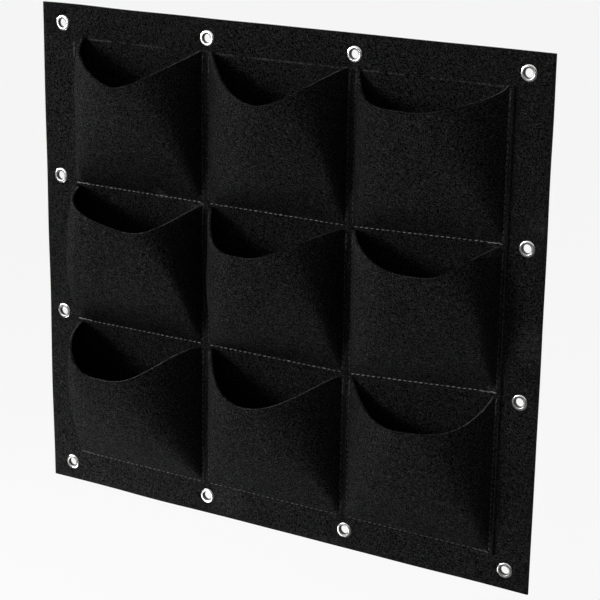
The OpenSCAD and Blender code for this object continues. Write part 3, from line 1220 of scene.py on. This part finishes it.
@dataclass
class Eyelets:
    """The twelve eyelets: domed fronts with their barrels, and the washers behind.

    The bore, the flange, the rolled end and the washer are given by their radii, the dome and
    the plate by their thickness. The powers of the dome's curve make it a little fuller than
    half an ellipse. From the hole outwards over fade, the metal carries painted shade.
    """

    shop: Workshop
    bore: float = 4.0 * MM
    flange: float = 7.5 * MM
    dome: float = 1.3 * MM
    dome_powers: Pair = (0.82, 0.9)
    dome_steps: int = 16
    plate: float = 0.4 * MM
    roll: float = 0.62 * MM
    roll_steps: int = 8
    washer: float = 7.2 * MM
    fade: float = 1.5 * MM
    tilt: float = 0.012
    turns: int = 48

    def build(self) -> None:
        """Builds both pieces."""
        self._ring_set("eyelet_fronts", self._front_section(), "eyelet_barrels")
        self._ring_set("eyelet_backs", self._washer_section(), "eyelet_washers")

    def _front_section(self) -> list[Pair]:
        """Half section of a front, once round its outside: dome, barrel, rolled end and back.

        Returns:
            Its corners, each as a radius and a height above the wall.
        """
        seat = self.shop.sizes.felt - self.shop.sizes.press_depth
        half = (self.flange - self.bore) / 2
        across, up = self.dome_powers
        section = []
        for step in range(self.dome_steps + 1):
            angle = math.pi * step / self.dome_steps
            flat = abs(math.cos(angle)) ** across * math.copysign(1.0, math.cos(angle))
            section.append((self.bore + half * (1 + flat), seat + self.dome * math.sin(angle) ** up))
        section.append((self.bore, seat - 0.9 * MM))
        for step in range(self.roll_steps + 1):
            angle = math.pi * step / self.roll_steps
            height = self.roll * (1 - math.sin(angle)) + 0.02 * MM
            section.append((self.bore + self.roll * (1 - math.cos(angle)), height))
        outside = self.bore + self.plate
        return section + [(outside, 0.75 * MM), (outside, seat - 0.1 * MM),
                          (self.flange - 0.3 * MM, seat - 0.12 * MM)]

    def _washer_section(self) -> list[Pair]:
        """Half section of a washer, as a radius and a height above the wall at each corner."""
        inner, outer = self.bore + self.plate + 0.1 * MM, self.washer
        return [(inner, 0.42 * MM), (inner + 0.5 * MM, 0.3 * MM), (outer - 0.8 * MM, 0.34 * MM),
                (outer - 0.2 * MM, 0.45 * MM), (outer, 0.6 * MM), (outer - 0.1 * MM, 0.72 * MM),
                (outer - 0.6 * MM, 0.74 * MM), (inner, 0.72 * MM)]

    def _ring_set(self, name: str, section: Sequence[Pair], stands_for: str) -> None:
        """Spins one half section into twelve rings, each in its hole and a little out of true.

        Args:
            name: The piece's name.
            section: The half section, as a closed outline.
            stands_for: The node that it replaces.
        """
        mesh = bmesh.new()
        shade = mesh.verts.layers.float.new("shade")
        corners = [mesh.verts.new((radius, -height, 0.0)) for radius, height in section]
        outline = [mesh.edges.new((corners[n - 1], corners[n])) for n in range(len(corners))]
        bmesh.ops.spin(mesh, geom=corners + outline, cent=(0, 0, 0), axis=(0, 1, 0), dvec=(0, 0, 0),
                       angle=2 * math.pi, steps=self.turns, use_merge=True, use_duplicate=False)
        bmesh.ops.remove_doubles(mesh, verts=list(mesh.verts), dist=0.002 * MM)
        bmesh.ops.recalc_face_normals(mesh, faces=list(mesh.faces))
        # Painted shade: each point's shade is 1 at the bore and falls to 0 over fade, and darkens the metal
        # there.
        for vert in mesh.verts:
            inside = (self.bore + self.fade - math.hypot(vert.co.x, vert.co.z)) / self.fade
            vert[shade] = min(max(inside, 0.0), 1.0) ** 0.7
        pattern = whole(mesh)
        first, *others = self.shop.sizes.eyelets
        rings = [(place, copy_of(mesh, pattern)) for place in others] + [(first, points(pattern))]
        chance = random.Random("eyelets")
        for (x, z), verts in rings:
            lean = Matrix.Rotation(chance.uniform(-self.tilt, self.tilt), 4, "X")
            lean = lean @ Matrix.Rotation(chance.uniform(-self.tilt, self.tilt), 4, "Z")
            spin = Matrix.Rotation(chance.uniform(0, 2 * math.pi), 4, "Y")
            seat = Matrix.Translation((x, -self.shop.sizes.wave(x, z), z))
            bmesh.ops.transform(mesh, matrix=seat @ lean @ spin, verts=verts)
        self.shop.piece(name, mesh, [self.shop.nickel], "eyelet_metal", stands_for)


# Studio


@dataclass(frozen=True)
class Lamp:
    """A soft square lamp that faces the planter.

    Attributes:
        name: The lamp's name.
        towards: Direction from the planter to the lamp.
        distance: How far away it stands.
        size: Length of its sides.
        level: How bright it makes a white card that faces it.
    """

    name: str
    towards: Triple
    distance: float
    size: float
    level: float

    def build(self) -> None:
        """Builds the lamp."""
        light = bpy.data.lights.new(self.name, "AREA")
        light.shape = "SQUARE"
        light.size = self.size
        light.energy = self.level * math.pi ** 2 * self.distance ** 2
        lamp = add_object(self.name, light)
        way = Vector(self.towards).normalized()
        lamp.location = way * self.distance
        lamp.rotation_euler = (-way).to_track_quat("-Z", "Y").to_euler()


@dataclass(frozen=True)
class Studio:
    """The plain pale floor, the soft lamps and the camera at the photograph's angle.

    Attributes:
        pale: Grey of the floor as the lamps see it.
        surround: Brightness of the world as it lights the planter.
        room: Brightness of the room that shiny things mirror.
    """

    floor_height: float = -1.0
    floor_reach: float = 30.0
    pale: float = 0.82
    eye: Triple = (0.8426, -1.3861, 0.4776)
    looks_at: Triple = (0.0250, -0.0030, -0.0073)
    roll: float = math.radians(0.8094)
    lens: float = 110.722
    surround: float = 0.13
    room: float = 0.10
    lamps: tuple[Lamp, ...] = (
        Lamp("key", (-0.601, -0.791, 0.139), 3.4, 1.3, 0.56),
        Lamp("low", (-0.30, -0.25, -0.50), 0.63, 0.25, 0.33),
        Lamp("side", (-1.0, -0.05, 0.30), 2.2, 0.7, 1.05),
    )

    def build(self) -> None:
        """Builds the floor, the lamps, the surround and the camera."""
        self._floor()
        for lamp in self.lamps:
            lamp.build()
        self._surround()
        self._camera()
        bpy.context.scene.view_settings.view_transform = "Standard"

    def _floor(self) -> None:
        """Lays the floor, white to the camera and pale to the lamps."""
        mesh = bmesh.new()
        bmesh.ops.create_grid(mesh, x_segments=2, y_segments=2, size=self.floor_reach)
        bmesh.ops.translate(mesh, vec=(0, 0, self.floor_height), verts=list(mesh.verts))
        data = bpy.data.meshes.new("floor")
        mesh.to_mesh(data)
        mesh.free()
        graph = Graph.for_material("pale_floor")
        behind = graph.axes(graph.here())[1].over(0.0, 0.5)
        seen, shown = self._background(graph, behind.between(self.room, 1.0))
        pale = graph.node("ShaderNodeBsdfDiffuse", {"Color": (self.pale, self.pale, self.pale, 1.0)})
        white = graph.node("ShaderNodeEmission", {"Color": (1.0, 1.0, 1.0, 1.0), "Strength": shown})
        both = graph.node("ShaderNodeMixShader", {0: seen * 0.9, 1: pale.outputs[0], 2: white.outputs[0]})
        graph.node("ShaderNodeOutputMaterial", {"Surface": both.outputs[0]})
        data.materials.append(graph.owner)
        add_object("floor", data)

    @staticmethod
    def _background(graph: Graph, mirrored: Value) -> tuple[Value, Value]:
        """What the rays find that show the background: straight, through glass or mirrored.

        Args:
            graph: The graph that the nodes go into.
            mirrored: Brightness that a mirrored ray finds.

        Returns:
            1 for such a ray and 0 for any other, and the brightness that it finds.
        """
        path = graph.node("ShaderNodeLightPath").outputs
        camera, glossy, through = (
            Value(graph, path[name]) for name in ("Is Camera Ray", "Is Glossy Ray", "Is Transmission Ray")
        )
        straight = camera.larger(through)
        return straight.larger(glossy), straight.larger(glossy * mirrored)

    def _surround(self) -> None:
        """Makes the world white behind the planter and overhead, and dim towards the room."""
        world = bpy.data.worlds.new("studio")
        bpy.context.scene.world = world
        graph = Graph(world)
        _, y, z = graph.axes(graph.node("ShaderNodeTexCoord").outputs["Generated"])
        mirrored = y.over(0.0, 0.35).larger(z.over(0.25, 0.60)).between(self.room, 1.0)
        shown = self._background(graph, mirrored)[1]
        sky = {"Color": (1.0, 1.0, 1.0, 1.0), "Strength": shown.larger(self.surround)}
        back = graph.node("ShaderNodeBackground", sky)
        graph.node("ShaderNodeOutputWorld", {"Surface": back.outputs[0]})

    def _camera(self) -> None:
        """Stands the camera where the photograph was taken from."""
        data = bpy.data.cameras.new("photograph")
        data.sensor_width = 36.0
        data.lens = self.lens
        camera = add_object("photograph", data)
        look = (Vector(self.looks_at) - Vector(self.eye)).to_track_quat("-Z", "Y")
        turn = Matrix.Rotation(self.roll, 4, "Z")
        camera.matrix_world = Matrix.Translation(self.eye) @ look.to_matrix().to_4x4() @ turn
        bpy.context.scene.camera = camera


# Assembly


def main() -> None:
    """Builds the planter and its studio, and reports each piece."""
    logging.basicConfig(level=logging.INFO, format="%(name)s %(message)s")
    sizes = PanelSizes()
    chalked = FeltFinish(name="backing_felt", chalk_height=sizes.line_height(0) - 2.0 * MM)
    shop = Workshop(
        sizes=sizes,
        felt=FeltFinish().material(),
        backing_felt=chalked.material(),
        # The cut edges are lighter: partly the cut fibre ends, partly a painted highlight along the lips.
        cut_felt_painted_highlight=FeltFinish(name="cut_felt_painted_highlight", ground=(0.060, 0.060, 0.060), fibre_share=0.8).material(),
        thread=ThreadFinish().material(),
        nickel=NickelFinish().material(),
    )
    FeltBacking(shop).build()
    for form in POCKETS:
        FeltPocket(shop, form).build()
        StitchedThread(shop, form).build()
    Eyelets(shop).build()
    Studio().build()


if __name__ == "__main__":
    main()
